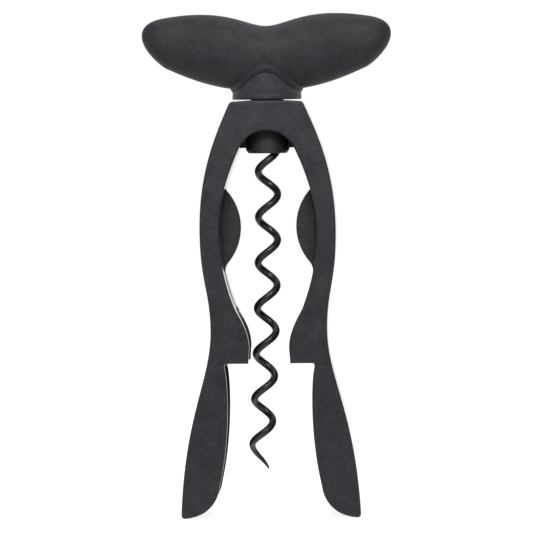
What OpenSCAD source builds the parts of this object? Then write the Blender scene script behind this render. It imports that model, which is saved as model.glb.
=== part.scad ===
// Tabletop corkscrew, the self-pulling kind. A frame stands over the bottle neck
// and a handle turns the captive worm. The worm runs into the cork until the seat
// meets the bottle lip, and more turns then draw the cork up between the legs.
// Millimetres. +Z is up along the worm, -Y is the front, and the origin lies on the
// worm's axis, in the plane where the frame sits on the bottle lip.

/* [Frame] */
// Height of the crown's top above the bottle seat
crown_h = 95; // [90:1:100]
// Thickness of the crown over the arch
crown_t = 10.8; // [10:0.1:12]
// Width of the crown's top
crown_w = 26.8; // [25:0.2:29]
// How far the crown's top falls from the middle to its sides
crown_fall = 0.4; // [0.2:0.1:0.8]
// Front to back depth of the crown and the legs
frame_depth = 27; // [25:0.5:32]
// Width over the upper legs where they bulge most
belly_w = 49.2; // [48:0.4:54]
// Height of the bulge above the seat
belly_z = 48; // [45:1:51]
// Width over the waist
waist_w = 42.2; // [41:0.2:45]
// Height of the waist above the seat
waist_z = 12; // [10:0.5:14]
// Width over the tips of the two lower legs
foot_w = 65; // [60:1:72]
// How far the lower legs reach below the seat
leg_drop = 56; // [52:1:64]
// Radius along the front and rear edges of the frame
edge_r = 1; // [0.6:0.1:1.4]
// Wall of the hollow lower legs
leg_wall = 2.8; // [2.2:0.1:3.2]
// Centre rib in each lower leg
leg_rib = 2.4; // [1.6:0.1:3]

/* [Window and seat] */
// Widest clear width between the upper legs
window_w = 35.4; // [34:0.2:37]
// Radius of the arch under the crown
arch_r = 11.2; // [10.4:0.1:12]
// How far the webs beside the collar reach below the arch's apex
web_drop = 6.4; // [5:0.1:7]
// Thickness of those webs
web_t = 7; // [5:0.5:10]
// Front and rear slot between the two seat blocks
slot_w = 14.4; // [13:0.2:16]
// Bore through the seat blocks, where the drawn cork passes
cork_bore_d = 25; // [24:0.2:26]
// Clear width between the lower legs just under the seat
throat_w = 32.6; // [32:0.2:35]
// Clear width between the lower legs where they are closest
neck_gap = 30.8; // [30.6:0.1:32]

/* [Cork fins] */
// Gap between the two fins that hold the drawn cork
fin_gap = 20.1; // [18:0.1:22]
// Height of the fins' middle above the seat
fin_z = 49.1; // [46:0.1:51]
// Radius of each fin's edge
fin_r = 20.2; // [18:0.1:22]
// Fillet between a fin and its leg
fin_fillet = 3; // [2:0.5:5]
// Thickness of each fin
fin_t = 2.4; // [1.6:0.1:3]

/* [Spindle and bearing] */
// Diameter of the spindle in its bearing
journal_d = 9; // [8.6:0.1:9.6]
// Running clearance round the spindle, on the radius
journal_gap = 0.05; // [0.03:0.01:0.08]
// Outer diameter of the bearing bush and of the thrust washer
bush_d = 12; // [11.8:0.1:13]
// Flange at the bush's lower end
bush_flange_d = 16; // [15:0.2:17]
// Thickness of that flange
bush_flange_t = 0.8; // [0.6:0.1:1]
// Cover of the crown between the arch's apex and the bush's flange
flange_cover = 0.3; // [0.2:0.1:0.6]
// Thickness of the thrust washer, which lies in a recess of the hub
washer_t = 0.7; // [0.5:0.1:1]
// Clearance round the washer in that recess
washer_gap = 0.3; // [0.3:0.1:0.5]
// Gap between the crown's top and the hub's lower face
hub_gap = 0.3; // [0.3:0.1:0.5]
// Play between the handle and the frame along the axis, at each end
axial_gap = 0.1; // [0.05:0.05:0.2]
// Diameter of the collar that keeps the spindle in the crown
collar_d = 15.8; // [15:0.2:16.4]
// Clearance round the collar in the crown's pocket
collar_gap = 0.5; // [0.4:0.1:0.8]
// Length of the collar
collar_l = 7.8; // [7:0.1:8.4]
// Chamfer at the collar's lower edge, along its radius
chamfer_w = 0.95; // [0.5:0.05:1.2]
// The same chamfer along the axis
chamfer_l = 1.3; // [0.8:0.1:2]
// Width across the flats of the spindle's head
head_af = 13; // [12:0.2:13]
// Height of the spindle's head
head_h = 6; // [5:0.5:7]

/* [Worm] */
// Diameter over the helix
worm_d = 9.7; // [9.2:0.1:9.8]
// Diameter of the wire
wire_d = 2.7; // [2.4:0.1:2.9]
// Rise of the helix in one turn
pitch = 16.55; // [15:0.05:18]
// How far the point reaches below the seat
worm_reach = 39.5; // [36:0.5:42]
// Length over which the wire is ground to its point
point_l = 12; // [8:1:16]
// Angle at which the wire leaves the collar, seen from above
exit_angle = 328; // [0:1:360]

/* [Handle] */
// Width over both wings
wing_span = 90.6; // [84:0.2:96]
// Front to back thickness of the handle at the middle
wing_t = 25.2; // [24.4:0.1:28]
// Front to back thickness near the ends of the wings
tip_t = 14; // [12:0.5:17]
// Length of each wing's rounded end
tip_l = 8.7; // [7:0.1:11]
// Diameter of the hub where it enters the grip
hub_d = 25; // [24.8:0.1:26]
// Diameter of the hub at its waist, above the rim
hub_waist_d = 24.4; // [22:0.2:24.8]
// Diameter of the rim at the hub's lower face
hub_rim_d = 24.9; // [23:0.1:25]
// Height of the low middle of the grip above the hub's lower face
grip_h = 26.7; // [25:0.1:28]
// Height of the wings' upper edge above the middle of the grip
wing_rise = 4.4; // [3:0.1:6]
// Height of the wings' lower edge near their ends, above the hub's lower face
wing_foot = 11.5; // [10:0.1:13]
// Height of the bead's feet above the hub's lower face
bead_foot = 4.4; // [3.6:0.1:5]
// Height of the bead's crown above its feet
bead_rise = 6.6; // [6:0.1:8]
// Height of the bead's section
bead_h = 3.4; // [3:0.1:4]
// How far the bead stands out of the grip
bead_out = 1.3; // [0.8:0.1:1.6]
// Thickness of the soft grip over the core's boss
skin_t = 4; // [3:0.1:5]
// Length of the stiff core inside the wings
core_l = 58; // [50:1:62]
// Thickness of the stiff core
core_t = 9; // [7:0.5:10]
// Diameter of the core's boss inside the grip
boss_d = 18.6; // [17:0.2:20]
// Height of the core's hub, up to its ledge inside the grip
hub_l = 12; // [11.5:0.1:13]
// Height of the ledge that the spindle's head pulls on, above the hub's lower face
ledge_h = 6; // [5:0.1:7]
// Clearance round the plug over the spindle's head
plug_gap = 0.1; // [0.05:0.05:0.2]

/* [Hidden] */

black = [0.235, 0.227, 0.243];
core_black = [0.20, 0.195, 0.205];
steel = [0.62, 0.62, 0.64];
coated = [0.13, 0.13, 0.14];
acetal = [0.16, 0.16, 0.17];
$fn = 96;

// Levels along the axis, from the crown downwards and then upwards
arch_z = crown_h - crown_t;
washer_top = crown_h + washer_t;
hub_z = crown_h + hub_gap;
recess_z = washer_top + axial_gap;
flange_top = arch_z + flange_cover;
collar_top = flange_top - bush_flange_t - axial_gap;
collar_bottom = collar_top - collar_l;
leg_top = arch_z - arch_r - 1.2;
cut_margin = 20;

// The handle's levels above the hub's lower face
ledge_z = hub_z + ledge_h;
head_top = ledge_z + head_h;
hub_top = hub_z + hub_l;
core_top = hub_z + grip_h - skin_t;
arm_bottom = hub_top - 1;
bead_foot_z = hub_z + bead_foot;
plug_d = head_af / cos(30) + 2 * plug_gap;

// Points of a cubic curve, without its last point
function curve(p, n) = [for (i = [0 : n - 1]) let (t = i / n, s = 1 - t)
    s * s * s * p[0] + 3 * s * s * t * p[1] + 3 * s * t * t * p[2] + t * t * t * p[3]];

// Points of an arc, with both ends
function arc(c, r, a0, a1, n) = [for (i = [0 : n]) let (a = a0 + (a1 - a0) * i / n)
    c + r * [cos(a), sin(a)]];

function reversed(p) = [for (i = [len(p) - 1 : -1 : 0]) p[i]];
function flipped(p) = [for (v = reversed(p)) [-v[0], v[1]]];

// Outline of the right half of the frame, from the crown's corner down the outside
corner_r = edge_r + 0.2;
crown_top = [[bush_d / 2 + 0.5, crown_h]];
shoulder = arc([crown_w / 2 - corner_r, crown_h - crown_fall - corner_r], corner_r, 90, 25, 3);
outer_upper = curve([[crown_w / 2 + 0.15, crown_h - 1.4], [crown_w / 2 + 5.3, crown_h - 12.8],
                     [belly_w / 2, belly_z + 20.9], [belly_w / 2, belly_z]], 12);
outer_middle = curve([[belly_w / 2, belly_z], [belly_w / 2, belly_z - 18.8],
                      [waist_w / 2, waist_z + 14.7], [waist_w / 2, waist_z]], 10);
outer_lower = curve([[waist_w / 2, waist_z], [waist_w / 2, waist_z - 17.5],
                     [foot_w / 2 - 1.8, 38.5 - leg_drop], [foot_w / 2, 2 - leg_drop]], 14);
tip = arc([foot_w / 2 - corner_r, corner_r - leg_drop], corner_r, 0, -90, 4);
leg_inside = [neck_gap / 2 + 3.05, 11.5 - leg_drop];
sole = curve([[foot_w / 2 - corner_r - 0.4, -leg_drop], [foot_w / 2 - 11.4, 0.9 - leg_drop],
              leg_inside + [0.35, -3.4], leg_inside], 8);
inner_lower = curve([leg_inside, [neck_gap / 2 - 1.2, 30 - leg_drop],
                     [neck_gap / 2 - 0.3, -5.2], [throat_w / 2, -1.5]], 10);
throat = arc([throat_w / 2 - 0.8, -0.8], 0.8, 0, 90, 3);
seat_corner = [[slot_w / 2 + 0.4, 0]];
block_z = 5.5;
slot_curve = curve([[slot_w / 2, block_z], [slot_w / 2, waist_z - 1], [10.2, 15.6], [12.1, 18.7]], 6);
inner_middle = curve([[12.1, 18.7], [15.1, 25.7], [window_w / 2, belly_z - 12],
                      [window_w / 2, belly_z]], 8);
arch_c = [0, arch_z - arch_r];
arch_end = 26;
arch_foot = arch_c + arch_r * [cos(arch_end), sin(arch_end)];
inner_upper = curve([[window_w / 2, belly_z], [window_w / 2, belly_z + 9],
                     arch_foot + [5.3, -10.9], arch_foot], 10);
arch = arc(arch_c, arch_r, arch_end, 180 - arch_end, 16);

outer_side = concat([for (v = outer_upper) if (v[1] < leg_top + 12) v], outer_middle, outer_lower, tip);
inner_side = concat(sole, inner_lower, throat, seat_corner, slot_curve, inner_middle, inner_upper);
leg_outline = concat(outer_side, inner_side);
crown_side = concat(crown_top, shoulder, outer_upper, [[belly_w / 2, belly_z]]);
crown_outside = concat(flipped(crown_side), crown_side);
crown_inside = concat(inner_upper, arch, flipped(inner_upper));

// Moves a clockwise outline inwards by d, along the bisector at each corner
function unit(v) = v / norm(v);
function inward(a, b) = let (u = unit(b - a)) [u[1], -u[0]];
function inset(p, d) = [for (i = [0 : len(p) - 1]) let (
    before = inward(p[(i + len(p) - 1) % len(p)], p[i]),
    after = inward(p[i], p[(i + 1) % len(p)]))
    p[i] + (before + after) * d / (1 + before * after)];

// Triangles between the outer and the inner side, each time along the shorter diagonal
// that keeps the triangle clockwise
function turns_right(a, b, c) = cross(b - a, c - a) < -0.2;
function ladder(p, i, j, last) = i == last && j == last + 1 ? []
    : let (outer_fits = i < last && turns_right(p[i], p[i + 1], p[j]),
           inner_fits = j > last + 1 && turns_right(p[i], p[j - 1], p[j]),
           shorter = outer_fits && inner_fits ? norm(p[i + 1] - p[j]) < norm(p[i] - p[j - 1])
               : outer_fits || !inner_fits && i < last)
    shorter ? concat([[i, i + 1, j]], ladder(p, i + 1, j, last))
        : concat([[i, j - 1, j]], ladder(p, i, j - 1, last));

// A slab of the frame's depth with rounded front and rear edges
module rounded_slab(outer, inner) {
    outline = concat(outer, inner);
    steps = 3;
    half = frame_depth / 2;
    front = [for (k = [0 : steps]) let (a = 90 * k / steps)
        [edge_r * (1 - cos(a)) - half, edge_r * (1 - sin(a))]];
    levels = concat(front, [for (k = [steps : -1 : 0]) [-front[k][0], front[k][1]]]);
    n = len(outline);
    points = [for (level = levels) each [for (v = inset(outline, level[1])) [v[0], level[0], v[1]]]];
    sides = [for (k = [0 : len(levels) - 2]) each [for (i = [0 : n - 1])
        let (a = k * n + i, b = k * n + (i + 1) % n)
        each [[a, a + n, b], [b, a + n, b + n]]]];
    front_face = ladder(inset(outline, edge_r), 0, n - 1, len(outer) - 1);
    start = (len(levels) - 1) * n;
    rear_face = [for (t = front_face) [start + t[0], start + t[2], start + t[1]]];
    polyhedron(points, concat(front_face, sides, rear_face), convexity = 6);
}

// Plate of a flat outline, centred on the worm's axis
module plate(t) {
    rotate([90, 0, 0]) linear_extrude(t, center = true) children();
}

// Hollow of a lower leg on one side of its centre rib
module leg_hollow() {
    hollow_y = frame_depth / 2 - leg_wall;
    wall_line = inset(leg_outline, leg_wall);
    outside = [for (i = [0 : len(outer_side) - 1]) wall_line[i]];
    translate([0, (leg_rib / 2 + hollow_y) / 2, 0])
        plate(hollow_y - leg_rib / 2)
            intersection() {
                polygon(concat(outside, [[foot_w / 2, -leg_drop - 4], [0, -leg_drop - 4],
                                         [0, crown_h]]));
                translate([0, -leg_drop - 5]) square([foot_w, leg_drop + 5]);
            }
}

module leg() {
    difference() {
        intersection() {
            rounded_slab(outer_side, inner_side);
            translate([0, -frame_depth, -leg_drop - 1])
                cube([foot_w, 2 * frame_depth, leg_drop + 1 + leg_top]);
        }
        cylinder(h = 60, d = cork_bore_d, center = true);
        leg_hollow();
        mirror([0, 1, 0]) leg_hollow();
    }
}

module right_leg() {
    color(black) leg();
}

module left_leg() {
    color(black) mirror([1, 0, 0]) leg();
}

// A fin's outline: an arc between two fillets that run out on the leg
module fin_outline() {
    fillet_x = window_w / 2 - 2.2 - fin_fillet;
    edge_x = window_w / 2 + 1;
    centre_x = fin_gap / 2 + fin_r;
    rise = sqrt(pow(fin_r + fin_fillet, 2) - pow(centre_x - fillet_x, 2));
    turn = atan2(rise, centre_x - fillet_x);
    edge = arc([centre_x, 0], fin_r, 180 - turn, 180 + turn, 18);
    translate([0, fin_z])
        polygon(concat(arc([fillet_x, rise], fin_fillet, 0, -turn, 5),
                       [for (i = [1 : len(edge) - 2]) edge[i]],
                       arc([fillet_x, -rise], fin_fillet, turn, 0, 5),
                       [[edge_x, -rise], [edge_x, rise]]));
}

module fin() {
    plate(fin_t)
        difference() {
            fin_outline();
            polygon(leg_outline);
        }
}

module right_cork_fin() {
    color(black) fin();
}

module left_cork_fin() {
    color(black) mirror([1, 0, 0]) fin();
}

// Crown with the arch, the webs beside the collar, its pocket and the bush's bore
module crown() {
    color(black)
        difference() {
            union() {
                intersection() {
                    rounded_slab(crown_outside, crown_inside);
                    translate([-crown_w, -frame_depth, leg_top])
                        cube([2 * crown_w, 2 * frame_depth, cut_margin + crown_h]);
                }
                plate(web_t)
                    translate([-arch_r - 0.6, arch_z - web_drop])
                        square([2 * arch_r + 1.2, web_drop + 1]);
            }
            translate([0, 0, flange_top - cut_margin])
                cylinder(h = cut_margin, r = collar_d / 2 + collar_gap);
            translate([0, 0, flange_top - 1]) cylinder(h = cut_margin + crown_t, d = bush_d);
        }
}

// Flanged sleeve, pushed into the crown from below
module crown_bush() {
    bore = journal_d / 2 + journal_gap;
    color(acetal)
        rotate_extrude()
            polygon([[bore, flange_top - bush_flange_t], [bush_flange_d / 2, flange_top - bush_flange_t],
                     [bush_flange_d / 2, flange_top], [bush_d / 2, flange_top],
                     [bush_d / 2, crown_h], [bore, crown_h]]);
}

module thrust_washer() {
    color(steel)
        translate([0, 0, crown_h])
            difference() {
                cylinder(h = washer_t, d = bush_d);
                translate([0, 0, -1]) cylinder(h = washer_t + 2, d = journal_d + 0.2);
            }
}

// The wire turns inwards to the axis inside the collar and the spindle's cone
turn_in_z = collar_bottom + 0.5;
shank_z = turn_in_z + 6.5;
socket_z = collar_bottom + 3.8;
cone_top = shank_z + 1.5;
wire_r = wire_d / 2;
shank_gap = 0.04;

module retaining_collar() {
    r = collar_d / 2;
    color(acetal)
        rotate_extrude()
            polygon([[worm_d / 2 + 0.2, collar_bottom], [r - chamfer_w, collar_bottom],
                     [r, collar_bottom + chamfer_l], [r, collar_top],
                     [journal_d / 2, collar_top], [journal_d / 2, socket_z],
                     [worm_d / 2 + 0.2, socket_z]]);
}

// Hollow bolt with a six-sided head, slotted for the bent end of the wire
bend_r = 2.2;
slot_floor = head_top - wire_d - 0.2;
bend_z = slot_floor + 0.05 + wire_r - bend_r;
shank_angle = exit_angle + 360 * (shank_z - collar_bottom) / pitch;
module spindle() {
    color(steel)
        difference() {
            union() {
                translate([0, 0, socket_z]) cylinder(h = ledge_z - socket_z, d = journal_d);
                translate([0, 0, ledge_z]) cylinder(h = head_h, d = head_af / cos(30), $fn = 6);
            }
            translate([0, 0, socket_z - 1])
                cylinder(h = cut_margin + head_top - socket_z, r = wire_r + shank_gap);
            translate([0, 0, socket_z - 0.001])
                cylinder(h = cone_top - socket_z, r1 = journal_d / 2 - 0.3, r2 = wire_r + shank_gap);
            translate([0, 0, bend_z - 0.2]) cylinder(h = cut_margin, r = wire_r + 1.2);
            rotate([0, 0, shank_angle])
                translate([0, -wire_r - 0.05, slot_floor])
                    cube([head_af / 2 - 0.8, wire_d + 0.1, cut_margin]);
        }
}

// Worm: a right-handed helix, its turn-in, a straight shank and a bent end
coil_r = (worm_d - wire_d) / 2;
rings_per_turn = 24;
wire_sides = 12;
function coil_angle(z) = exit_angle + 360 * (z - collar_bottom) / pitch;
function ease(t) = t * t * (3 - 2 * t);
function coil_radius(z) = z < turn_in_z ? coil_r
    : coil_r * (1 - ease(min(1, (z - turn_in_z) / (shank_z - turn_in_z))));
function coil_point(z) = let (a = coil_angle(z), r = coil_radius(z)) [r * cos(a), r * sin(a), z];
function point_r(z) = let (t = min(1, (z + worm_reach) / point_l)) wire_r * (0.1 + 0.9 * sqrt(t));
// Each ring of the wire is a centre, two directions across it and a radius
function coil_ring(z) = let (
    t = unit(coil_point(z + 0.01) - coil_point(z - 0.01)),
    a = coil_angle(z),
    out = [cos(a), sin(a), 0],
    u = unit(out - (out * t) * t))
    [coil_point(z), u, cross(t, u), point_r(z)];
slot_dir = [cos(shank_angle), sin(shank_angle), 0];
function bend_ring(b, along) = let (
    u = cos(b) * slot_dir - [0, 0, sin(b)],
    t = [0, 0, cos(b)] + sin(b) * slot_dir)
    [[0, 0, bend_z] + bend_r * (1 - cos(b)) * slot_dir + [0, 0, bend_r * sin(b)] + along * t,
     u, cross(t, u), wire_r];
coil_steps = ceil((shank_z + worm_reach) / pitch * rings_per_turn);
wire_rings = concat(
    [for (i = [0 : coil_steps]) coil_ring((shank_z + worm_reach) * i / coil_steps - worm_reach)],
    [for (b = [0 : 18 : 90]) bend_ring(b, 0)],
    [bend_ring(90, head_af / 2 - 1.2 - bend_r)]);

module worm() {
    points = [for (ring = wire_rings) each [for (k = [0 : wire_sides - 1])
        let (a = 360 * k / wire_sides)
        ring[0] + ring[3] * (cos(a) * ring[1] + sin(a) * ring[2])]];
    last = len(wire_rings) - 1;
    sides = [for (i = [0 : last - 1]) each [for (k = [0 : wire_sides - 1])
        let (a = i * wire_sides + k, b = i * wire_sides + (k + 1) % wire_sides)
        each [[a, a + wire_sides, b], [b, a + wire_sides, b + wire_sides]]]];
    tip_face = [for (k = [0 : wire_sides - 1]) k];
    end_face = [for (k = [wire_sides - 1 : -1 : 0]) last * wire_sides + k];
    color(coated) polyhedron(points, concat([tip_face], sides, [end_face]), convexity = 10);
}

// Hub profile below, boss in the middle and two arms inside the wings
module core_envelope() {
    rotate_extrude()
        polygon([[0, hub_z], [hub_rim_d / 2 - 0.4, hub_z], [hub_rim_d / 2, hub_z + 0.4],
                 [hub_rim_d / 2, hub_z + 1.2], [hub_waist_d / 2, hub_z + 1.9],
                 [hub_d / 2, hub_z + bead_foot - 0.5], [hub_d / 2, hub_top], [0, hub_top]]);
    translate([0, 0, arm_bottom]) cylinder(h = core_top - arm_bottom, d = boss_d);
    arm_r = (core_top - arm_bottom) / 2;
    plate(core_t)
        union() {
            translate([arm_r - core_l / 2, arm_bottom]) square([core_l - 2 * arm_r, 2 * arm_r]);
            for (side = [-1, 1])
                translate([side * (core_l / 2 - arm_r), arm_bottom + arm_r]) circle(arm_r);
        }
}

module handle_core() {
    color(core_black)
        difference() {
            core_envelope();
            translate([0, 0, hub_z - 1]) cylinder(h = cut_margin, d = journal_d);
            translate([0, 0, hub_z - 1])
                cylinder(h = 1 + recess_z - hub_z, r = bush_d / 2 + washer_gap);
            translate([0, 0, ledge_z])
                cylinder(h = head_h, d = head_af / cos(30), $fn = 6);
            translate([0, 0, head_top]) cylinder(h = cut_margin, d = plug_d);
        }
}

module core_plug() {
    color(core_black)
        translate([0, 0, head_top]) cylinder(h = core_top - head_top, d = plug_d);
}

// Upper and lower edge of a wing, from the middle to its rounded end
half_span = wing_span / 2;
end_x = half_span - tip_l;
end_z = hub_z + grip_h - 3.2;
top_join = [end_x, hub_z + grip_h + wing_rise - 1.05];
bottom_join = [end_x, hub_z + wing_foot];
inner_steps = 9;
outer_steps = 7;
top_edge = concat(
    curve([[0, hub_z + grip_h], [7, hub_z + grip_h], [14.3, top_join[1] + 3.6], top_join], inner_steps),
    curve([top_join, top_join + [2.6, -0.4], [half_span, end_z + 5.2], [half_span, end_z]], outer_steps));
bottom_edge = concat(
    curve([[0, hub_z + 3.2], [12, hub_z + 3.2], [19.4, hub_z + 3.8], bottom_join], inner_steps),
    curve([bottom_join, bottom_join + [4.7, 3.2], [half_span, end_z - 4], [half_span, end_z]], outer_steps));
wing_points = 24;
fullness = 2.5;
function sharpened(v) = sign(v) * pow(abs(v), 2 / fullness);
function wing_half_t(x) = x < end_x
    ? tip_t / 2 + (wing_t - tip_t) / 2 * (1 + cos(180 * x / end_x)) / 2
    : tip_t / 2 * sqrt(max(0, 1 - pow((x - end_x) / (half_span - end_x), 2.2)));
function wing_section(i, side) = let (
    top = top_edge[i],
    low = bottom_edge[i],
    middle = (top + low) / 2,
    half = (top - low) / 2,
    t = wing_half_t(middle[0]))
    [for (k = [0 : wing_points - 1]) let (
        a = 360 * k / wing_points,
        across = sharpened(sin(a)))
        [side * (middle[0] + half[0] * across), t * sharpened(cos(a)), middle[1] + half[1] * across]];

module wings() {
    stations = inner_steps + outer_steps;
    sections = concat(
        [for (i = [stations - 1 : -1 : 1]) wing_section(i, -1)],
        [for (i = [0 : stations - 1]) wing_section(i, 1)]);
    n = wing_points;
    count = len(sections);
    points = concat([[-half_span, 0, end_z]], [for (s = sections) each s], [[half_span, 0, end_z]]);
    start_cap = [for (k = [0 : n - 1]) [0, 1 + (k + 1) % n, 1 + k]];
    end_cap = [for (k = [0 : n - 1]) [count * n + 1, 1 + (count - 1) * n + k,
                                      1 + (count - 1) * n + (k + 1) % n]];
    sides = [for (i = [0 : count - 2]) each [for (k = [0 : n - 1])
        let (a = 1 + i * n + k, b = 1 + i * n + (k + 1) % n)
        each [[a, b, a + n], [b, b + n, a + n]]]];
    polyhedron(points, concat(start_cap, sides, end_cap), convexity = 4);
}

// Rolled lip of the grip, which rises over the hub at the front and the rear
bead_steps = 56;
bead_sides = 10;
bead_path_r = hub_d / 2 - 0.1;
bead_half_out = (wing_t - hub_d) / 2 + bead_out + 0.1;
function bead_ring(a) = let (
    centre = [bead_path_r * cos(a), bead_path_r * sin(a), bead_foot_z + bead_rise * pow(sin(a), 4)],
    out = [cos(a), sin(a), 0])
    [for (k = [0 : bead_sides - 1]) let (b = 360 * k / bead_sides)
        centre + bead_half_out * cos(b) * out + [0, 0, bead_h / 2 * sin(b)]];

module bead() {
    points = [for (i = [0 : bead_steps - 1]) each bead_ring(360 * i / bead_steps)];
    n = bead_sides;
    total = bead_steps * n;
    faces = [for (i = [0 : bead_steps - 1]) each [for (k = [0 : n - 1])
        let (a = i * n + k, b = i * n + (k + 1) % n)
        each [[a, (a + n) % total, b], [b, (a + n) % total, (b + n) % total]]]];
    polyhedron(points, faces, convexity = 6);
}

module handle_grip() {
    color(black)
        difference() {
            union() {
                wings();
                bead();
            }
            core_envelope();
        }
}

handle_grip();
handle_core();
core_plug();
spindle();
worm();
retaining_collar();
thrust_washer();
crown_bush();
crown();
left_leg();
right_leg();
left_cork_fin();
right_cork_fin();
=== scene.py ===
import math

import bmesh
import bpy
from mathutils import Matrix, Vector
from mathutils.geometry import interpolate_bezier


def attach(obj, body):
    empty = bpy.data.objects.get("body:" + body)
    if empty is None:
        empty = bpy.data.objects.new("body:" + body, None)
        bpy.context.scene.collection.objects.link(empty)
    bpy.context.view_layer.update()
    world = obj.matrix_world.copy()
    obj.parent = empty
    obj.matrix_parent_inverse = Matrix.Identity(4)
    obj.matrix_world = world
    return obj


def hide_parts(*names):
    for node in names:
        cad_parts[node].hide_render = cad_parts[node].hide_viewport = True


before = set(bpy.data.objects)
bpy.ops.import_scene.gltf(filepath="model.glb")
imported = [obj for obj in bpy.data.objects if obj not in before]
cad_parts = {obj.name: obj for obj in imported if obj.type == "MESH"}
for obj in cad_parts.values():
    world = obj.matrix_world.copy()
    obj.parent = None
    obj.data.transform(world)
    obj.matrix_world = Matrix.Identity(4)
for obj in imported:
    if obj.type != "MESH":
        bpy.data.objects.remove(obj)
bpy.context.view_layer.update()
print("frame loaded:", len(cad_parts), "nodes")

toMetres = 0.001  # the pieces are modelled in millimetres and scaled once, at the end
weldGap = 0.001  # millimetres: points closer than this are one point
spinGap = 0.0005  # the same for a spun piece, whose points lie close together at the axis
lineGap = 0.01  # shortest step between two points of an outline
sharpAngle = 0.6  # radians: a steeper corner of a spun piece is rounded


# Tools shared by the pieces

def fromHex(code):  # sRGB hex to the linear colour that the shaders take
    values = [int(code[i:i + 2], 16) / 255 for i in (0, 2, 4)]
    linear = [v / 12.92 if v <= 0.04045 else ((v + 0.055) / 1.055) ** 2.4 for v in values]
    return (*linear, 1.0)


def makeObject(bm, name):
    bmesh.ops.recalc_face_normals(bm, faces=bm.faces)
    mesh = bpy.data.meshes.new(name)
    bm.to_mesh(mesh)
    bm.free()
    piece = bpy.data.objects.new(name, mesh)
    bpy.context.collection.objects.link(piece)
    return piece


def applyModifiers(piece):
    graph = bpy.context.evaluated_depsgraph_get()
    shaped = bpy.data.meshes.new_from_object(piece.evaluated_get(graph))
    piece.modifiers.clear()
    old = piece.data
    piece.data = shaped
    bpy.data.meshes.remove(old)


def combine(piece, other, operation):  # DIFFERENCE cuts the other solid out, UNION joins it on
    change = piece.modifiers.new("combine", "BOOLEAN")
    change.operation = operation
    change.solver = "EXACT"
    change.object = other
    applyModifiers(piece)
    bpy.data.objects.remove(other)


def rod(name, radius, low, high, segments=128):  # a plain cylinder on the worm's axis
    bm = bmesh.new()
    place = Matrix.Translation((0, 0, (low + high) / 2))
    bmesh.ops.create_cone(bm, cap_ends=True, segments=segments, radius1=radius, radius2=radius,
                          depth=high - low, matrix=place)
    return makeObject(bm, name)


def block(name, low, high):
    bm = bmesh.new()
    size = Vector(high) - Vector(low)
    place = Matrix.Translation((Vector(low) + Vector(high)) / 2) @ Matrix.Diagonal((*size, 1))
    bmesh.ops.create_cube(bm, size=1, matrix=place)
    return makeObject(bm, name)


# The profile is (radius, height) pairs. The axis closes it where it starts on the axis,
# and its own last side where it doesn't.
def spunPiece(name, profile, steps=160, edge=0.0):
    bm = bmesh.new()
    verts = [bm.verts.new((radius, 0, height)) for radius, height in profile]
    edges = [bm.edges.new(pair) for pair in zip(verts, verts[1:])]
    if profile[0][0] > 0:
        edges.append(bm.edges.new((verts[-1], verts[0])))
    bmesh.ops.spin(bm, geom=verts + edges, cent=(0, 0, 0), axis=(0, 0, 1), angle=math.tau,
                   steps=steps, use_merge=True)
    bmesh.ops.remove_doubles(bm, verts=bm.verts, dist=spinGap)
    if edge:
        sharp = [e for e in bm.edges if len(e.link_faces) == 2 and e.calc_face_angle() > sharpAngle]
        bmesh.ops.bevel(bm, geom=sharp, offset=edge, segments=3, profile=0.5, affect="EDGES",
                        clamp_overlap=False, material=-1)
    return makeObject(bm, name)


def handOver(piece, body, nodes, material, angle=35):
    piece.data.transform(Matrix.Scale(toMetres, 4))
    piece.data.polygons.foreach_set("use_smooth", [True] * len(piece.data.polygons))
    piece.data.set_sharp_from_angle(angle=math.radians(angle))
    weighted = piece.modifiers.new("weightedNormal", "WEIGHTED_NORMAL")
    weighted.keep_sharp = True
    piece.data.materials.clear()
    piece.data.materials.append(material)
    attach(piece, body)
    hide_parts(*nodes)
    print(piece.name, "done:", len(piece.data.polygons), "faces")


# Materials

mixFirst, mixSecond, mixResult = 6, 7, 2  # the Mix node's two colour inputs and its colour output


def addNode(tree, kind, settings=None, values=None, links=None):
    node = tree.nodes.new(kind)
    for name, value in (settings or {}).items():
        setattr(node, name, value)
    for name, value in (values or {}).items():
        node.inputs[name].default_value = value
    for name, socket in (links or {}).items():
        tree.links.new(socket, node.inputs[name])
    return node


def newMaterial(name):
    material = bpy.data.materials.new(name)
    material.use_nodes = True
    material.node_tree.nodes.clear()
    return material, material.node_tree


def perMillimetre(size):  # texture scale for a feature of that many millimetres, on Object coordinates
    return 1 / (size * toMetres)


# Soft-touch lacquer over moulded plastic: rubbery and matt, with a fine orange-peel grain and a
# little lint caught on it. Seen edge on it turns glossy and mirrors the white surround.
coatedFrameLook = {
    "colour": "26242a", "pale": "3b393e", "grain": 1.0, "mottle": 5.0, "roughness": 0.5,
    "roughnessSpread": 0.08, "grazing": 0.07, "specular": 0.32, "sheen": 0.02, "bump": 0.012,
    "lint": 3.2, "lintColour": "6b6a6e"}
# Overmoulded soft elastomer of the handle: the same lacquered charcoal, duller and a little darker
softGripLook = {
    "colour": "1f1d22", "pale": "333136", "grain": 1.0, "mottle": 6.0, "roughness": 0.6,
    "roughnessSpread": 0.08, "grazing": 0.4, "specular": 0.3, "sheen": 0.0, "bump": 0.014,
    "lint": 2.8, "lintColour": "6b6a6e"}
# Moulded ABS with a fine spark-eroded texture: satin, a touch crisper than the lacquer
hubPlasticLook = {
    "colour": "2a282e", "pale": "3e3c42", "grain": 0.9, "mottle": 4.0, "roughness": 0.46,
    "roughnessSpread": 0.06, "grazing": 0.3, "specular": 0.38, "sheen": 0.03, "bump": 0.01,
    "lint": 4.0, "lintColour": "605f63"}
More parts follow.
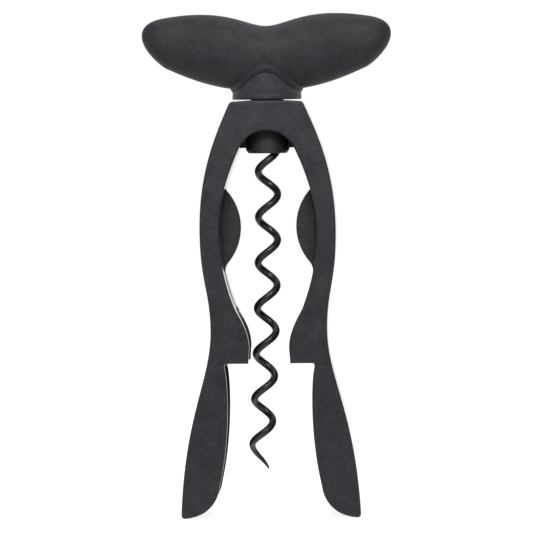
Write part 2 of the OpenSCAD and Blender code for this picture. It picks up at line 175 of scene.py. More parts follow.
# What the three share: the shares of mottle and grain in the tone and how far it is stretched,
# a fleck of lint within its cell and how few cells have one, and the slant that turns glossy
mouldedPattern = {
    "mottleDetail": 6.0, "mottleRoughness": 0.65, "grainDetail": 3.0, "grainRoughness": 0.6,
    "mottleShare": 0.55, "grainShare": 0.45, "toneFrom": 0.36, "toneTo": 0.64, "lintFull": 0.03,
    "lintGone": 0.075, "lintAbove": 0.72, "slant": 0.5, "slantFrom": 0.84, "slantTo": 0.95,
    "bumpStrength": 0.6, "sheenRoughness": 0.5, "ior": 1.5}


def mattMoulding(name, look):
    material, tree = newMaterial(name)
    pattern = mouldedPattern
    place = addNode(tree, "ShaderNodeTexCoord").outputs["Object"]
    mottle = addNode(tree, "ShaderNodeTexNoise",
                     values={"Scale": perMillimetre(look["mottle"]), "Detail": pattern["mottleDetail"],
                             "Roughness": pattern["mottleRoughness"]},
                     links={"Vector": place})
    grain = addNode(tree, "ShaderNodeTexNoise",
                    values={"Scale": perMillimetre(look["grain"]), "Detail": pattern["grainDetail"],
                            "Roughness": pattern["grainRoughness"]},
                    links={"Vector": place})
    fine = addNode(tree, "ShaderNodeMath", {"operation": "MULTIPLY"}, {1: pattern["grainShare"]},
                   {0: grain.outputs["Fac"]})
    tone = addNode(tree, "ShaderNodeMath", {"operation": "MULTIPLY_ADD"}, {1: pattern["mottleShare"]},
                   {0: mottle.outputs["Fac"], 2: fine.outputs[0]})
    stretched = addNode(tree, "ShaderNodeMapRange",
                        values={"From Min": pattern["toneFrom"], "From Max": pattern["toneTo"]},
                        links={"Value": tone.outputs[0]})
    body = addNode(tree, "ShaderNodeMix", {"data_type": "RGBA"},
                   {mixFirst: fromHex(look["colour"]), mixSecond: fromHex(look["pale"])},
                   {0: stretched.outputs[0]})
    cells = addNode(tree, "ShaderNodeTexVoronoi", values={"Scale": perMillimetre(look["lint"])},
                    links={"Vector": place})
    fleck = addNode(tree, "ShaderNodeMapRange",
                    values={"From Min": pattern["lintFull"], "From Max": pattern["lintGone"],
                            "To Min": 1.0, "To Max": 0.0},
                    links={"Value": cells.outputs["Distance"]})
    cellColour = addNode(tree, "ShaderNodeSeparateColor", links={"Color": cells.outputs["Color"]})
    chosen = addNode(tree, "ShaderNodeMath", {"operation": "GREATER_THAN"}, {1: pattern["lintAbove"]},
                     {0: cellColour.outputs["Red"]})
    lint = addNode(tree, "ShaderNodeMath", {"operation": "MULTIPLY"},
                   links={0: fleck.outputs[0], 1: chosen.outputs[0]})
    dusted = addNode(tree, "ShaderNodeMix", {"data_type": "RGBA"},
                     {mixSecond: fromHex(look["lintColour"])},
                     {0: lint.outputs[0], mixFirst: body.outputs[mixResult]})
    halfSpread = look["roughnessSpread"] / 2
    plain = addNode(tree, "ShaderNodeMapRange",
                    values={"To Min": look["roughness"] - halfSpread,
                            "To Max": look["roughness"] + halfSpread},
                    links={"Value": mottle.outputs["Fac"]})
    slant = addNode(tree, "ShaderNodeLayerWeight", values={"Blend": pattern["slant"]})
    rough = addNode(tree, "ShaderNodeMapRange",  # glossier where it is seen edge on
                    values={"From Min": pattern["slantFrom"], "From Max": pattern["slantTo"],
                            "To Max": look["grazing"]},
                    links={"Value": slant.outputs["Facing"], "To Min": plain.outputs[0]})
    bump = addNode(tree, "ShaderNodeBump",
                   values={"Strength": pattern["bumpStrength"], "Distance": look["bump"] * toMetres},
                   links={"Height": grain.outputs["Fac"]})
    shader = addNode(tree, "ShaderNodeBsdfPrincipled",
                     values={"Specular IOR Level": look["specular"], "Sheen Weight": look["sheen"],
                             "Sheen Roughness": pattern["sheenRoughness"], "IOR": pattern["ior"]},
                     links={"Base Color": dusted.outputs[mixResult], "Roughness": rough.outputs[0],
                            "Normal": bump.outputs[0]})
    addNode(tree, "ShaderNodeOutputMaterial", links={"Surface": shader.outputs[0]})
    return material


# Black non-stick lacquer baked on spring steel: smooth and semi-gloss, so it draws long
# narrow highlights, with a faint orange peel and rubbed patches here and there along the wire
wormLook = {
    "colour": "1f1e21", "rubbed": "303034", "peel": 0.9, "peelDetail": 3.0, "patch": 4.0, "patchDetail": 7.0,
    "patchRoughness": 0.7, "wearFrom": 0.48, "wearTo": 0.68, "roughness": 0.33, "rubbedRoughness": 0.42,
    "bump": 0.003, "bumpStrength": 0.5, "specular": 0.5, "ior": 1.5}


def bakedLacquer(name, look):
    material, tree = newMaterial(name)
    place = addNode(tree, "ShaderNodeTexCoord").outputs["Object"]
    patches = addNode(tree, "ShaderNodeTexNoise",
                      values={"Scale": perMillimetre(look["patch"]), "Detail": look["patchDetail"],
                              "Roughness": look["patchRoughness"]},
                      links={"Vector": place})
    wear = addNode(tree, "ShaderNodeMapRange",
                   values={"From Min": look["wearFrom"], "From Max": look["wearTo"]},
                   links={"Value": patches.outputs["Fac"]})
    colour = addNode(tree, "ShaderNodeMix", {"data_type": "RGBA"},
                     {mixFirst: fromHex(look["colour"]), mixSecond: fromHex(look["rubbed"])},
                     {0: wear.outputs[0]})
    rough = addNode(tree, "ShaderNodeMapRange",
                    values={"To Min": look["roughness"], "To Max": look["rubbedRoughness"]},
                    links={"Value": wear.outputs[0]})
    peel = addNode(tree, "ShaderNodeTexNoise",
                   values={"Scale": perMillimetre(look["peel"]), "Detail": look["peelDetail"]},
                   links={"Vector": place})
    bump = addNode(tree, "ShaderNodeBump",
                   values={"Strength": look["bumpStrength"], "Distance": look["bump"] * toMetres},
                   links={"Height": peel.outputs["Fac"]})
    shader = addNode(tree, "ShaderNodeBsdfPrincipled",
                     values={"Specular IOR Level": look["specular"], "IOR": look["ior"]},
                     links={"Base Color": colour.outputs[mixResult], "Roughness": rough.outputs[0],
                            "Normal": bump.outputs[0]})
    addNode(tree, "ShaderNodeOutputMaterial", links={"Surface": shader.outputs[0]})
    return material


# Black acetal turned on a lathe: waxy satin with fine rings round the axis
acetalLook = {
    "colour": "232225", "pale": "2e2d30", "ring": 0.5, "roughness": 0.4, "ringRoughness": 0.5,
    "bump": 0.008, "metallic": 0.0}
# Turned free-cutting steel: bare bright metal, rings from the tool round the axis
steelLook = {
    "colour": "8f8f92", "pale": "a5a5a8", "ring": 0.4, "roughness": 0.26, "ringRoughness": 0.4,
    "bump": 0.01, "metallic": 1.0}
# The rings follow the height on the sides and the radius on the end faces, where they lie closer
turnedPattern = {"faceShare": 1.7, "detail": 4.0, "bumpStrength": 0.4}


def turnedStock(name, look):
    material, tree = newMaterial(name)
    place = addNode(tree, "ShaderNodeTexCoord").outputs["Object"]
    parts = addNode(tree, "ShaderNodeSeparateXYZ", links={0: place})
    flat = addNode(tree, "ShaderNodeCombineXYZ", links={0: parts.outputs["X"], 1: parts.outputs["Y"]})
    radius = addNode(tree, "ShaderNodeVectorMath", {"operation": "LENGTH"}, links={0: flat.outputs[0]})
    along = addNode(tree, "ShaderNodeMath", {"operation": "MULTIPLY_ADD"}, {1: turnedPattern["faceShare"]},
                    {0: radius.outputs["Value"], 2: parts.outputs["Z"]})
    line = addNode(tree, "ShaderNodeCombineXYZ", links={0: along.outputs[0]})
    rings = addNode(tree, "ShaderNodeTexNoise",
                    values={"Scale": perMillimetre(look["ring"]), "Detail": turnedPattern["detail"]},
                    links={"Vector": line.outputs[0]})
    colour = addNode(tree, "ShaderNodeMix", {"data_type": "RGBA"},
                     {mixFirst: fromHex(look["colour"]), mixSecond: fromHex(look["pale"])},
                     {0: rings.outputs["Fac"]})
    rough = addNode(tree, "ShaderNodeMapRange",
                    values={"To Min": look["roughness"], "To Max": look["ringRoughness"]},
                    links={"Value": rings.outputs["Fac"]})
    bump = addNode(tree, "ShaderNodeBump",
                   values={"Strength": turnedPattern["bumpStrength"], "Distance": look["bump"] * toMetres},
                   links={"Height": rings.outputs["Fac"]})
    shader = addNode(tree, "ShaderNodeBsdfPrincipled", values={"Metallic": look["metallic"]},
                     links={"Base Color": colour.outputs[mixResult], "Roughness": rough.outputs[0],
                            "Normal": bump.outputs[0]})
    addNode(tree, "ShaderNodeOutputMaterial", links={"Surface": shader.outputs[0]})
    return material


coatedFrame = mattMoulding("softTouchLacquerOnMoulding", coatedFrameLook)
softGrip = mattMoulding("lacqueredElastomer", softGripLook)
hubPlastic = mattMoulding("texturedMouldedPlastic", hubPlasticLook)
blackWire = bakedLacquer("bakedBlackLacquerOnSteel", wormLook)
blackAcetal = turnedStock("turnedBlackAcetal", acetalLook)
turnedSteel = turnedStock("turnedSteel", steelLook)
print("materials done")


# Frame: one moulding with the crown, both legs, the seat blocks and the cork fins
shell = {
    "depth": 27, "edge": 0.85, "edgeSteps": 4,
    # bores on the worm's axis: radius, low, high
    "corkBore": (12.5, -30, 30), "collarPocket": (8.4, 60, 84.5), "bushBore": (6.0, 80, 100),
    # the web that closes the arch beside the collar
    "webHalf": 11, "webThickness": 7.0, "webLow": 77.8, "webHigh": 85,
    "finThickness": 2.4, "finEdge": 0.45,
    # the shaded groove between a fin and its leg
    "grooveWidth": 0.8, "grooveFloor": 0.6, "grooveLow": 35, "grooveHigh": 63, "grooveOverlap": 0.3,
    # the hollow legs: wall and reach of the hollows, whose upper corner stands over the wall's first
    # point below hollowCorner, and the rib between them, which stops short of the inner edge
    "wall": 2.8, "hollowTop": 0, "hollowCorner": 2, "hollowStart": -0.5, "hollowLip": 0.2,
    "hollowOut": 34, "hollowLow": -60,
    "rib": 2.4, "ribSetBack": 2.5, "reliefTop": -1, "reliefLow": -47.5, "reliefOut": 22, "reliefIn": 8,
    # outline of the right half, clockwise from the middle of the crown: start, two handles, end, steps
    "outline": {
        "crownTop": ((0, 95), (2.2, 95), (4.4, 95), (6.5, 95), 1),
        "crownFall": ((6.5, 95), (8.4, 94.867), (10.3, 94.733), (12.2, 94.6), 1),
        "crownCorner": ((12.2, 94.6), (12.664, 94.6), (13.092, 94.328), (13.288, 93.907), 4),
        "shoulder": ((13.55, 93.6), (18.7, 82.2), (24.6, 68.9), (24.6, 48), 26),
        "waist": ((24.6, 48), (24.6, 29.2), (21.1, 26.7), (21.1, 12), 18),
        "legOutside": ((21.1, 12), (21.1, -5.5), (30.7, -17.5), (32.5, -54), 30),
        "toe": ((32.5, -54.8), (32.5, -55.463), (31.963, -56), (31.3, -56), 5),
        "sole": ((30.9, -56), (21.1, -55.1), (18.8, -47.9), (18.45, -44.5), 14),
        "legInside": ((18.45, -44.5), (14.2, -26), (15.1, -5.2), (16.3, -1.5), 22),
        "seatCorner": ((16.3, -0.8), (16.3, -0.358), (15.942, 0), (15.5, 0), 5),
        "seat": ((12.5, 0), (10, 0), (8.5, 0), (7.6, 0), 1),
        "block": ((7.2, 5.5), (7.2, 11), (9.85, 15.4), (11.7, 18.7), 12),
        "windowLow": ((11.7, 18.7), (14.65, 25.1), (17.7, 36), (17.7, 48), 20),
        "windowHigh": ((17.7, 48), (17.7, 56.5), (15.05, 67.0), (9.85, 77.91), 20),
        "arch": ((9.85, 77.91), (8.03, 81.72), (4.282, 84.2), (0, 84.2), 12)},
    # outline of the right fin, closed inside the leg
    "fin": {
        "filletHigh": ((15.5, 64.039), (15.5, 63.332), (15.25, 62.648), (14.795, 62.107), 6),
        "arcHigh": ((14.795, 62.107), (11.73, 58.466), (10.05, 53.859), (10.05, 49.1), 12),
        "arcLow": ((10.05, 49.1), (10.05, 44.341), (11.73, 39.734), (14.795, 36.093), 12),
        "filletLow": ((14.795, 36.093), (15.25, 35.552), (15.98, 34.4), (15.93, 32.6), 8),
        "partingRidge": ((15.93, 32.6), (15.05, 28.2), (13.25, 22.2), (11.55, 18.7), 12),
        "insideLeg": ((19.0, 18), (19.0, 34), (19.0, 48), (19.0, 63), 4)}}


def pointsAlong(*curves):
    points = []
    for start, first, second, end, steps in curves:
        knots = [Vector((x, 0, z)) for x, z in (start, first, second, end)]
        for point in interpolate_bezier(*knots, steps + 1):
            if not points or (point - points[-1]).length > lineGap:
                points.append(point)
    return points


def setInwards(points, distance):  # the line moved to its right by that distance, without its two ends
    moved = []
    for before, point, after in zip(points, points[1:], points[2:]):
        along = (after - before).normalized()
        moved.append(point + distance * Vector((along.z, 0, -along.x)))
    return moved


def onSide(points, side):  # 1 is the right half, as drawn, and -1 the left
    return [Vector((side * p.x, 0, p.z)) for p in points]


def slab(name, points, low, high, edge=0, mirrored=False):  # an outline pushed out along Y, its rims rounded
    bm = bmesh.new()
    verts = [bm.verts.new((p.x, low, p.z)) for p in points]
    edges = [bm.edges.new(pair) for pair in zip(verts, verts[1:])]
    if mirrored:
        bmesh.ops.mirror(bm, geom=verts + edges, matrix=Matrix(), merge_dist=weldGap, axis="X")
        bmesh.ops.remove_doubles(bm, verts=bm.verts, dist=weldGap)
    else:
        edges.append(bm.edges.new((verts[-1], verts[0])))
    bmesh.ops.contextual_create(bm, geom=bm.edges[:])
    bmesh.ops.recalc_face_normals(bm, faces=bm.faces)
    pushed = bmesh.ops.extrude_face_region(bm, geom=bm.faces[:], use_keep_orig=True)
    far = [g for g in pushed["geom"] if isinstance(g, bmesh.types.BMVert)]
    bmesh.ops.translate(bm, vec=(0, high - low, 0), verts=far)
    if edge:
        rims = [e for e in bm.edges if abs(e.verts[0].co.y - e.verts[1].co.y) < weldGap]
        bmesh.ops.bevel(bm, geom=rims, offset=edge, offset_type="OFFSET", segments=shell["edgeSteps"],
                        profile=0.5, affect="EDGES", clamp_overlap=False, material=-1)
    return makeObject(bm, name)


def cutSlab(piece, points, near, far):
    combine(piece, slab("cutter", points, min(near, far), max(near, far)), "DIFFERENCE")


def addFins(piece):
    thick = shell["finThickness"] / 2
    fin = pointsAlong(*shell["fin"].values())
    for side in (1, -1):
        combine(piece, slab("fin", onSide(fin, side), -thick, thick, shell["finEdge"]), "UNION")
    window = pointsAlong(shell["outline"]["windowLow"], shell["outline"]["windowHigh"])
    root = [p for p in window if shell["grooveLow"] < p.z < shell["grooveHigh"]]
    groove = [p + Vector((shell["grooveOverlap"], 0, 0)) for p in root]
    groove += [p - Vector((shell["grooveWidth"], 0, 0)) for p in reversed(root)]
    for side in (1, -1):
        for face in (1, -1):
            cutSlab(piece, onSide(groove, side), face * shell["grooveFloor"],
                    face * (thick + shell["grooveOverlap"]))


def hollowLegs(piece):
    inside = shell["depth"] / 2 - shell["wall"]
    top = shell["hollowTop"]
    skin = setInwards(pointsAlong(shell["outline"]["legOutside"]), shell["wall"])
    corner = next(p for p in skin if p.z < shell["hollowCorner"])
    hollow = [Vector((corner.x - shell["hollowLip"], 0, top))]
    hollow += [p for p in skin if p.z < shell["hollowStart"]]
    hollow += [Vector((x, 0, z)) for x, z in ((shell["hollowOut"], shell["hollowLow"]),
                                              (0, shell["hollowLow"]), (0, top))]
    for side in (1, -1):
        for face in (1, -1):
            cutSlab(piece, onSide(hollow, side), face * shell["rib"] / 2, face * inside)
    edge = [p + Vector((shell["ribSetBack"], 0, 0)) for p in pointsAlong(shell["outline"]["legInside"])
            if p.z < shell["reliefTop"]]
    relief = [Vector((shell["reliefOut"], 0, shell["reliefLow"]))] + edge
    relief += [Vector((shell["reliefIn"], 0, edge[-1].z)), Vector((shell["reliefIn"], 0, shell["reliefLow"]))]
    for side in (1, -1):
        cutSlab(piece, onSide(relief, side), -inside, inside)


def buildFrameShell():
    half = shell["depth"] / 2
    outline = pointsAlong(*shell["outline"].values())
    piece = slab("frameShell", outline, -half, half, shell["edge"], mirrored=True)
    addFins(piece)
    webFront = shell["webThickness"] / 2
    combine(piece, block("web", (-shell["webHalf"], -webFront, shell["webLow"]),
                         (shell["webHalf"], webFront, shell["webHigh"])), "UNION")
    for name in ("corkBore", "collarPocket", "bushBore"):
        combine(piece, rod(name, *shell[name]), "DIFFERENCE")
    hollowLegs(piece)
    return piece


handOver(buildFrameShell(), "frame",
         ["crown", "left_leg", "right_leg", "left_cork_fin", "right_cork_fin"], coatedFrame)


# Stiff core: the hub below the grip, the boss and the two arms inside the wings
core = {
    # half section of the hub: radius, height
    "hub": [(0, 95.3), (12.15, 95.3), (12.42, 95.37), (12.58, 95.7), (12.58, 96.4), (12.54, 96.9),
            (12.5, 97.4), (12.52, 97.9), (12.6, 98.6), (12.6, 107.3), (0, 107.3)],
    "bossRadius": 9.3, "armLow": 106.3, "armHigh": 118.0, "armLength": 58, "armThickness": 9,
    "boltRadius": 4.5, "boltHigh": 110, "recessRadius": 6.3, "recessTop": 95.8, "boresLow": 90,
    "ledge": 101.3, "headRadius": 7.506, "headDepth": 6.2, "plugRadius": 7.606, "plugDepth": 6,
    "plugHigh": 120}


def buildCore(bored):
    piece = spunPiece("stiffCore", core["hub"])
    combine(piece, rod("boss", core["bossRadius"], core["armLow"], core["armHigh"]), "UNION")
    radius = (core["armHigh"] - core["armLow"]) / 2
    bm = bmesh.new()
    place = Matrix.Translation((0, 0, core["armLow"] + radius)) @ Matrix.Rotation(math.pi / 2, 4, "X")
    bmesh.ops.create_cone(bm, cap_ends=True, segments=64, radius1=radius, radius2=radius,
                          depth=core["armThickness"], matrix=place)
    for v in bm.verts:  # the disc is drawn out into a bar with round ends
        if abs(v.co.x) > weldGap:
            v.co.x += math.copysign(core["armLength"] / 2 - radius, v.co.x)
    combine(piece, makeObject(bm, "arms"), "UNION")
    if bored:
        ledge, low = core["ledge"], core["boresLow"]
        for cutter in (rod("boltBore", core["boltRadius"], low, core["boltHigh"]),
                       rod("washerRecess", core["recessRadius"], low, core["recessTop"]),
                       rod("headRecess", core["headRadius"], ledge, ledge + core["headDepth"], segments=6),
                       rod("plugBore", core["plugRadius"], ledge + core["plugDepth"], core["plugHigh"])):
            combine(piece, cutter, "DIFFERENCE")
    return piece


handOver(buildCore(True), "handle", ["handle_core"], hubPlastic)


# Grip: two wings drawn out of a ball, and the rolled lip that rises over the hub
grip = {
    # upper and lower line of a wing, from the axis to its end: start, two handles, end
    "top": [((0, 122.0), (7.36, 122.0), (14.1, 128.95), (36.6, 125.32)),
            ((36.6, 125.32), (38.82, 124.97), (45.3, 124.07), (45.3, 118.8))],
    "low": [((0, 98.5), (12, 98.5), (20.6, 99.43), (36.6, 106.88)),
            ((36.6, 106.88), (37.6, 107.35), (45.3, 113.16), (45.3, 118.8))],
    "middleHalf": 12.6, "tipHalf": 7.0, "endX": 36.6, "halfSpan": 45.3, "endRoundness": 2.2,
    "fullness": 2.5, "pole": 0.99999, "voxel": 0.42, "smoothings": 2,
    "lipRadius": 12.4, "lipHeight": 99.3, "lipRise": 7.45, "lipHalfOut": 0.9, "lipHalfHeight": 1.8,
    "lipLean": 0.35, "lipFront": 0.5, "lipPower": 4, "lipSteps": 240}


def alongWing(curves, t):
    start, first, second, end = [Vector((x, 0, z)) for x, z in curves[0 if t < 0.5 else 1]]
    u = t * 2 if t < 0.5 else t * 2 - 1
    v = 1 - u
    return start * v ** 3 + first * 3 * v * v * u + second * 3 * v * u * u + end * u ** 3


def wingHalf(x):  # half the thickness of a wing, front to back, at x from the axis
    if x < grip["endX"]:
        swell = (1 + math.cos(math.pi * x / grip["endX"])) / 2
        return grip["tipHalf"] + (grip["middleHalf"] - grip["tipHalf"]) * swell
    run = min(1.0, (x - grip["endX"]) / (grip["halfSpan"] - grip["endX"]))
    return grip["tipHalf"] * math.sqrt(max(0, 1 - run ** grip["endRoundness"]))


def fuller(value):  # a sine or cosine, made squarer, so that the section is fuller than an ellipse
    return math.copysign(abs(value) ** (2 / grip["fullness"]), value)


def buildWings():
    bm = bmesh.new()
    bmesh.ops.create_uvsphere(bm, u_segments=96, v_segments=120, radius=1,
                              matrix=Matrix.Rotation(math.pi / 2, 4, "Y"))
    for v in bm.verts:
        t = min(1.0, 2 * math.asin(min(1.0, abs(v.co.x))) / math.pi)
        top, low = alongWing(grip["top"], t), alongWing(grip["low"], t)
        middle, reach = (top + low) / 2, (top - low) / 2
        around = math.atan2(v.co.z, v.co.y)
        up, out = fuller(math.sin(around)), fuller(math.cos(around))
        if abs(v.co.x) > grip["pole"]:
            up = out = 0
        x = middle.x + reach.x * up
        v.co = (math.copysign(x, v.co.x), wingHalf(middle.x) * out, middle.z + reach.z * up)
    piece = makeObject(bm, "gripSkin")
    remesh = piece.modifiers.new("remesh", "REMESH")
    remesh.mode = "VOXEL"
    remesh.voxel_size = grip["voxel"]
    remesh.adaptivity = 0
    applyModifiers(piece)
    bm = bmesh.new()
    bm.from_mesh(piece.data)
    for _ in range(grip["smoothings"]):
        bmesh.ops.smooth_vert(bm, verts=bm.verts, factor=0.5, use_axis_x=True, use_axis_y=True,
                              use_axis_z=True)
    bm.to_mesh(piece.data)
    bm.free()
    return piece


def buildLip():
    bm = bmesh.new()
    place = Matrix.Translation((grip["lipRadius"], 0, grip["lipHeight"]))
    upright = Matrix.Rotation(math.pi / 2, 4, "X")
    oval = Matrix.Diagonal((grip["lipHalfOut"], grip["lipHalfHeight"], 1, 1))
    bmesh.ops.create_circle(bm, segments=32, radius=1, matrix=place @ upright @ oval)
    bmesh.ops.spin(bm, geom=bm.verts[:] + bm.edges[:], cent=(0, 0, 0), axis=(0, 0, 1), angle=math.tau,
                   steps=grip["lipSteps"], use_merge=True)
    bmesh.ops.remove_doubles(bm, verts=bm.verts, dist=spinGap)
    for v in bm.verts:  # it leans outwards at the sides, and rises and swells to the front and the back
        front = math.sin(math.atan2(v.co.y, v.co.x)) ** grip["lipPower"]
        reach = math.hypot(v.co.x, v.co.y)
        lean = grip["lipLean"] * (1 - front) * (v.co.z - grip["lipHeight"])
        swell = (reach - grip["lipRadius"]) * grip["lipFront"] * math.sqrt(front)
        wider = 1 + (lean + swell) / reach
        v.co = (v.co.x * wider, v.co.y * wider, v.co.z + grip["lipRise"] * front)
    return makeObject(bm, "lip")


def buildGrip():
    piece = buildWings()
    combine(piece, buildLip(), "UNION")
    combine(piece, buildCore(False), "DIFFERENCE")
    return piece


handOver(buildGrip(), "handle", ["handle_grip"], softGrip, angle=50)


# Worm: one wire, coiled, turned in to the axis inside the collar, and bent over in the bolt's head.
# As in the photograph, the wire is bowed a little to the left, and its last half turn is drawn out.
worm = {
    "coilRadius": 3.5, "wireRadius": 1.35, "pitch": 16.55, "bottom": -39.5, "pointLength": 12,
    "pointShare": 0.1, "exitAngle": 328, "exitHeight": 75.8, "turnIn": 76.3, "shank": 82.8,
    "bendHeight": 103.6, "bendRadius": 2.2, "bendSteps": 8, "tail": 3.1, "stepsPerTurn": 44,
    "bow": 0.0003, "drawnFrom": -30.3, "drawnOut": 0.74}


def wormLine():  # points x, y, z and the share of the wire's radius there, from the point upwards
    points = []
    height = worm["shank"] - worm["bottom"]
    steps = math.ceil(height / worm["pitch"] * worm["stepsPerTurn"])
    for i in range(steps + 1):
        z = worm["bottom"] + height * i / steps
        turned = z
        if z <= worm["drawnFrom"]:
            turned = worm["drawnFrom"] + (z - worm["drawnFrom"]) * worm["drawnOut"]
        angle = math.radians(worm["exitAngle"] + 360 * (turned - worm["exitHeight"]) / worm["pitch"])
        inward = min(1, max(0, (z - worm["turnIn"]) / (worm["shank"] - worm["turnIn"])))
        reach = worm["coilRadius"] * (1 - inward * inward * (3 - 2 * inward))
        ground = math.sqrt(min(1, (z - worm["bottom"]) / worm["pointLength"]))
        thick = worm["pointShare"] + (1 - worm["pointShare"]) * ground
        aside = worm["bow"] * max(0, worm["turnIn"] - z) ** 2
        points.append((reach * math.cos(angle) - aside, reach * math.sin(angle), z, thick))
    away = Vector((math.cos(angle), math.sin(angle), 0))
    for i in range(worm["bendSteps"] + 1):
        bend = math.pi / 2 * i / worm["bendSteps"]
        spot = away * worm["bendRadius"] * (1 - math.cos(bend))
        points.append((spot.x, spot.y, worm["bendHeight"] + worm["bendRadius"] * math.sin(bend), 1.0))
    end = away * (worm["bendRadius"] + worm["tail"])
    points.append((end.x, end.y, worm["bendHeight"] + worm["bendRadius"], 1.0))
    return points


def buildWorm():
    points = wormLine()
    wire = bpy.data.curves.new("wire", "CURVE")
    wire.dimensions = "3D"
    wire.bevel_depth = worm["wireRadius"]
    wire.bevel_resolution = 8
    wire.use_fill_caps = True
    line = wire.splines.new("POLY")
    line.points.add(len(points) - 1)
    for point, (x, y, z, thick) in zip(line.points, points):
        point.co = (x, y, z, 1)
        point.radius = thick
    drawn = bpy.data.objects.new("wire", wire)
    bpy.context.collection.objects.link(drawn)
    graph = bpy.context.evaluated_depsgraph_get()
    mesh = bpy.data.meshes.new_from_object(drawn.evaluated_get(graph))
    bpy.data.objects.remove(drawn)
    bm = bmesh.new()
    bm.from_mesh(mesh)
    bmesh.ops.remove_doubles(bm, verts=bm.verts, dist=weldGap)
    return makeObject(bm, "wormWire")


handOver(buildWorm(), "handle", ["worm"], blackWire, angle=60)


# Turned rings: the collar that keeps the spindle in, the bush in the crown and the washer under
# the hub, each with its body, its CAD node, the rounding of its edges and its half section
rings = {
    "collarRing": ("handle", "retaining_collar", 0.18,
                   [(5.05, 75.8), (6.95, 75.8), (7.9, 77.1), (7.9, 83.6), (4.5, 83.6), (4.5, 79.6),
                    (5.05, 79.6)]),
    "crownBush": ("frame", "crown_bush", 0.1,
                  [(4.55, 83.7), (8.0, 83.7), (8.0, 84.5), (6.0, 84.5), (6.0, 95.0), (4.55, 95.0)]),
    "thrustRing": ("frame", "thrust_washer", 0.08,
                   [(4.6, 95.0), (6.0, 95.0), (6.0, 95.7), (4.6, 95.7)])}

for ringName, (body, nodeName, edge, profile) in rings.items():
    handOver(spunPiece(ringName, profile, edge=edge), body, [nodeName], blackAcetal, angle=40)

# The bolt and the plug stay as the CAD has them, inside the hub
for nodeName, material in (("spindle", turnedSteel), ("core_plug", hubPlastic)):
    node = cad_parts[nodeName]
    node.data.materials.clear()
    node.data.materials.append(material)


# Stage: a pale floor that meets a white surround, and soft light from above, both sides and the front
stage = {
    "floorRadius": 3.0, "floorZ": -0.0561, "floorColour": "c4c4c4", "fibre": 0.8, "fibreDetail": 4.0,
    "fibreStrength": 0.1, "fibreHeight": 0.02, "lift": 0.84, "sweepFrom": -0.25, "sweepTo": -0.02,
    "ambient": 0.27, "roomGloss": 0.25, "backdropFrom": 0.3, "backdropTo": 0.9, "backdropGlow": 0.6,
    "spillFrom": -0.1,
    "lamps": [  # name, place, aimed at, width, depth, watts, spread in degrees
        ("keySoftbox", (0.0, -0.42, 0.34), (0, 0, 0.1), 0.3, 0.1, 0.3, 70),
        ("topSoftbox", (0.0, 0.12, 0.85), (0, 0, 0.05), 0.8, 0.5, 2.5, 180),
        ("leftSoftbox", (-0.8, -0.55, 0.35), (0, 0, 0.03), 0.5, 0.7, 0.5, 180),
        ("rightSoftbox", (0.85, -0.45, 0.3), (0, 0, 0.03), 0.5, 0.7, 0.45, 180)]}


def paintedStudioFloor():  # chalky white paint; it lifts to white only for the camera and in reflections
    material, tree = newMaterial("paintedStudioFloor")
    place = addNode(tree, "ShaderNodeTexCoord").outputs["Object"]
    fibre = addNode(tree, "ShaderNodeTexNoise",
                    values={"Scale": perMillimetre(stage["fibre"]), "Detail": stage["fibreDetail"]},
                    links={"Vector": place})
    bump = addNode(tree, "ShaderNodeBump",
                   values={"Strength": stage["fibreStrength"], "Distance": stage["fibreHeight"] * toMetres},
                   links={"Height": fibre.outputs["Fac"]})
    paint = addNode(tree, "ShaderNodeBsdfDiffuse", values={"Color": fromHex(stage["floorColour"])},
                    links={"Normal": bump.outputs[0]})
    path = addNode(tree, "ShaderNodeLightPath")
    glossy = addNode(tree, "ShaderNodeMath", {"operation": "MAXIMUM"},  # 1 for what metal and glass see
                     links={0: path.outputs["Is Glossy Ray"], 1: path.outputs["Is Transmission Ray"]})
    parts = addNode(tree, "ShaderNodeSeparateXYZ", links={0: place})
    behind = addNode(tree, "ShaderNodeMapRange",  # reflections find the lifted floor behind the object only
                     values={"From Min": stage["sweepFrom"], "From Max": stage["sweepTo"]},
                     links={"Value": parts.outputs["Y"]})
    mirrored = addNode(tree, "ShaderNodeMath", {"operation": "MULTIPLY"},
                       links={0: glossy.outputs[0], 1: behind.outputs[0]})
    seen = addNode(tree, "ShaderNodeMath", {"operation": "MAXIMUM"},
                   links={0: path.outputs["Is Camera Ray"], 1: mirrored.outputs[0]})
    strength = addNode(tree, "ShaderNodeMath", {"operation": "MULTIPLY"}, {1: stage["lift"]},
                       {0: seen.outputs[0]})
    glow = addNode(tree, "ShaderNodeEmission", values={"Color": (1, 1, 1, 1)},
                   links={"Strength": strength.outputs[0]})
    both = addNode(tree, "ShaderNodeAddShader", links={0: paint.outputs[0], 1: glow.outputs[0]})
    addNode(tree, "ShaderNodeOutputMaterial", links={"Surface": both.outputs[0]})
    return material


def layFloor():
    bm = bmesh.new()
    bmesh.ops.create_circle(bm, cap_ends=True, segments=96, radius=stage["floorRadius"],
                            matrix=Matrix.Translation((0, 0, stage["floorZ"])))
    floor = makeObject(bm, "floor")
    floor.data.materials.append(paintedStudioFloor())


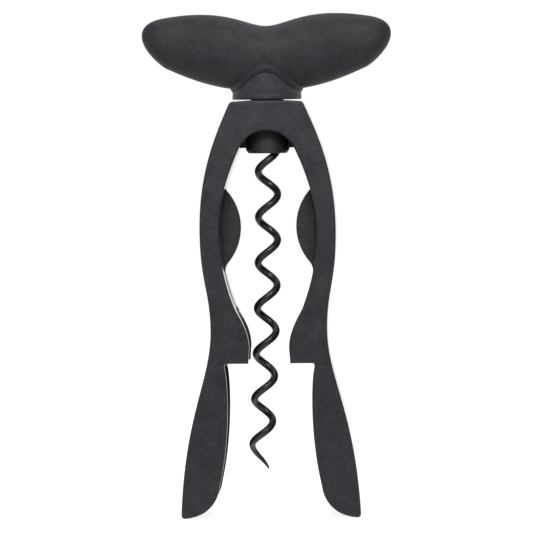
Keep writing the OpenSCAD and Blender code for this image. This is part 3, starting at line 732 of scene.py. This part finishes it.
def whiteSurround():
    world = bpy.data.worlds.new("whiteSurround")
    bpy.context.scene.world = world
    world.use_nodes = True
    tree = world.node_tree
    tree.nodes.clear()
    path = addNode(tree, "ShaderNodeLightPath")
    glossy = addNode(tree, "ShaderNodeMath", {"operation": "MAXIMUM"},  # 1 for what metal and glass see
                     links={0: path.outputs["Is Glossy Ray"], 1: path.outputs["Is Transmission Ray"]})
    towards = addNode(tree, "ShaderNodeTexCoord").outputs["Generated"]
    parts = addNode(tree, "ShaderNodeSeparateXYZ", links={0: towards})
    mirrored = addNode(tree, "ShaderNodeMapRange",  # reflections see the backdrop, and a dimmer room in front
                       values={"From Min": stage["backdropFrom"], "From Max": stage["backdropTo"],
                               "To Min": stage["roomGloss"], "To Max": 1.0},
                       links={"Value": parts.outputs["Y"]})
    spilled = addNode(tree, "ShaderNodeMapRange",  # the backdrop also throws more light than the room does
                      values={"From Min": stage["spillFrom"], "From Max": stage["backdropTo"],
                              "To Min": stage["ambient"], "To Max": stage["backdropGlow"]},
                      links={"Value": parts.outputs["Y"]})
    level = addNode(tree, "ShaderNodeMapRange",
                    links={"Value": glossy.outputs[0], "To Min": spilled.outputs[0],
                           "To Max": mirrored.outputs[0]})
    seen = addNode(tree, "ShaderNodeMath", {"operation": "MAXIMUM"},
                   links={0: path.outputs["Is Camera Ray"], 1: level.outputs[0]})
    white = addNode(tree, "ShaderNodeBackground", values={"Color": (1, 1, 1, 1)},
                    links={"Strength": seen.outputs[0]})
    addNode(tree, "ShaderNodeOutputWorld", links={"Surface": white.outputs[0]})


def hangLamps():
    for name, place, aim, width, depth, watts, spread in stage["lamps"]:
        lamp = bpy.data.lights.new(name, "AREA")
        lamp.shape = "RECTANGLE"
        lamp.size = width
        lamp.size_y = depth
        lamp.energy = watts
        lamp.spread = math.radians(spread)
        holder = bpy.data.objects.new(name, lamp)
        holder.location = place
        holder.rotation_euler = (Vector(aim) - Vector(place)).to_track_quat("-Z", "Y").to_euler()
        bpy.context.collection.objects.link(holder)


# Camera: metres from the axis, height over the seat, and the point it is aimed at (aside, height)
view = {
    "azimuth": 1.9, "distance": 1.300, "height": 0.090, "aim": (-0.00097, 0.03456), "lens": 241.4,
    "sensor": 36.0, "roll": 0.74}


def placeCamera():
    camera = bpy.data.cameras.new("camera")
    camera.lens = view["lens"]
    camera.sensor_width = view["sensor"]
    holder = bpy.data.objects.new("camera", camera)
    turn = math.radians(view["azimuth"])
    aside, aimHeight = view["aim"]
    aim = Vector((math.cos(turn) * aside, math.sin(turn) * aside, aimHeight))
    spot = Vector((math.sin(turn) * view["distance"], -math.cos(turn) * view["distance"], view["height"]))
    look = (aim - spot).to_track_quat("-Z", "Y").to_matrix().to_4x4()
    roll = Matrix.Rotation(math.radians(-view["roll"]), 4, "Z")
    holder.matrix_world = Matrix.Translation(spot) @ look @ roll
    bpy.context.collection.objects.link(holder)
    bpy.context.scene.camera = holder


layFloor()
whiteSurround()
hangLamps()
placeCamera()
bpy.context.scene.view_settings.view_transform = "Standard"
print("stage done")
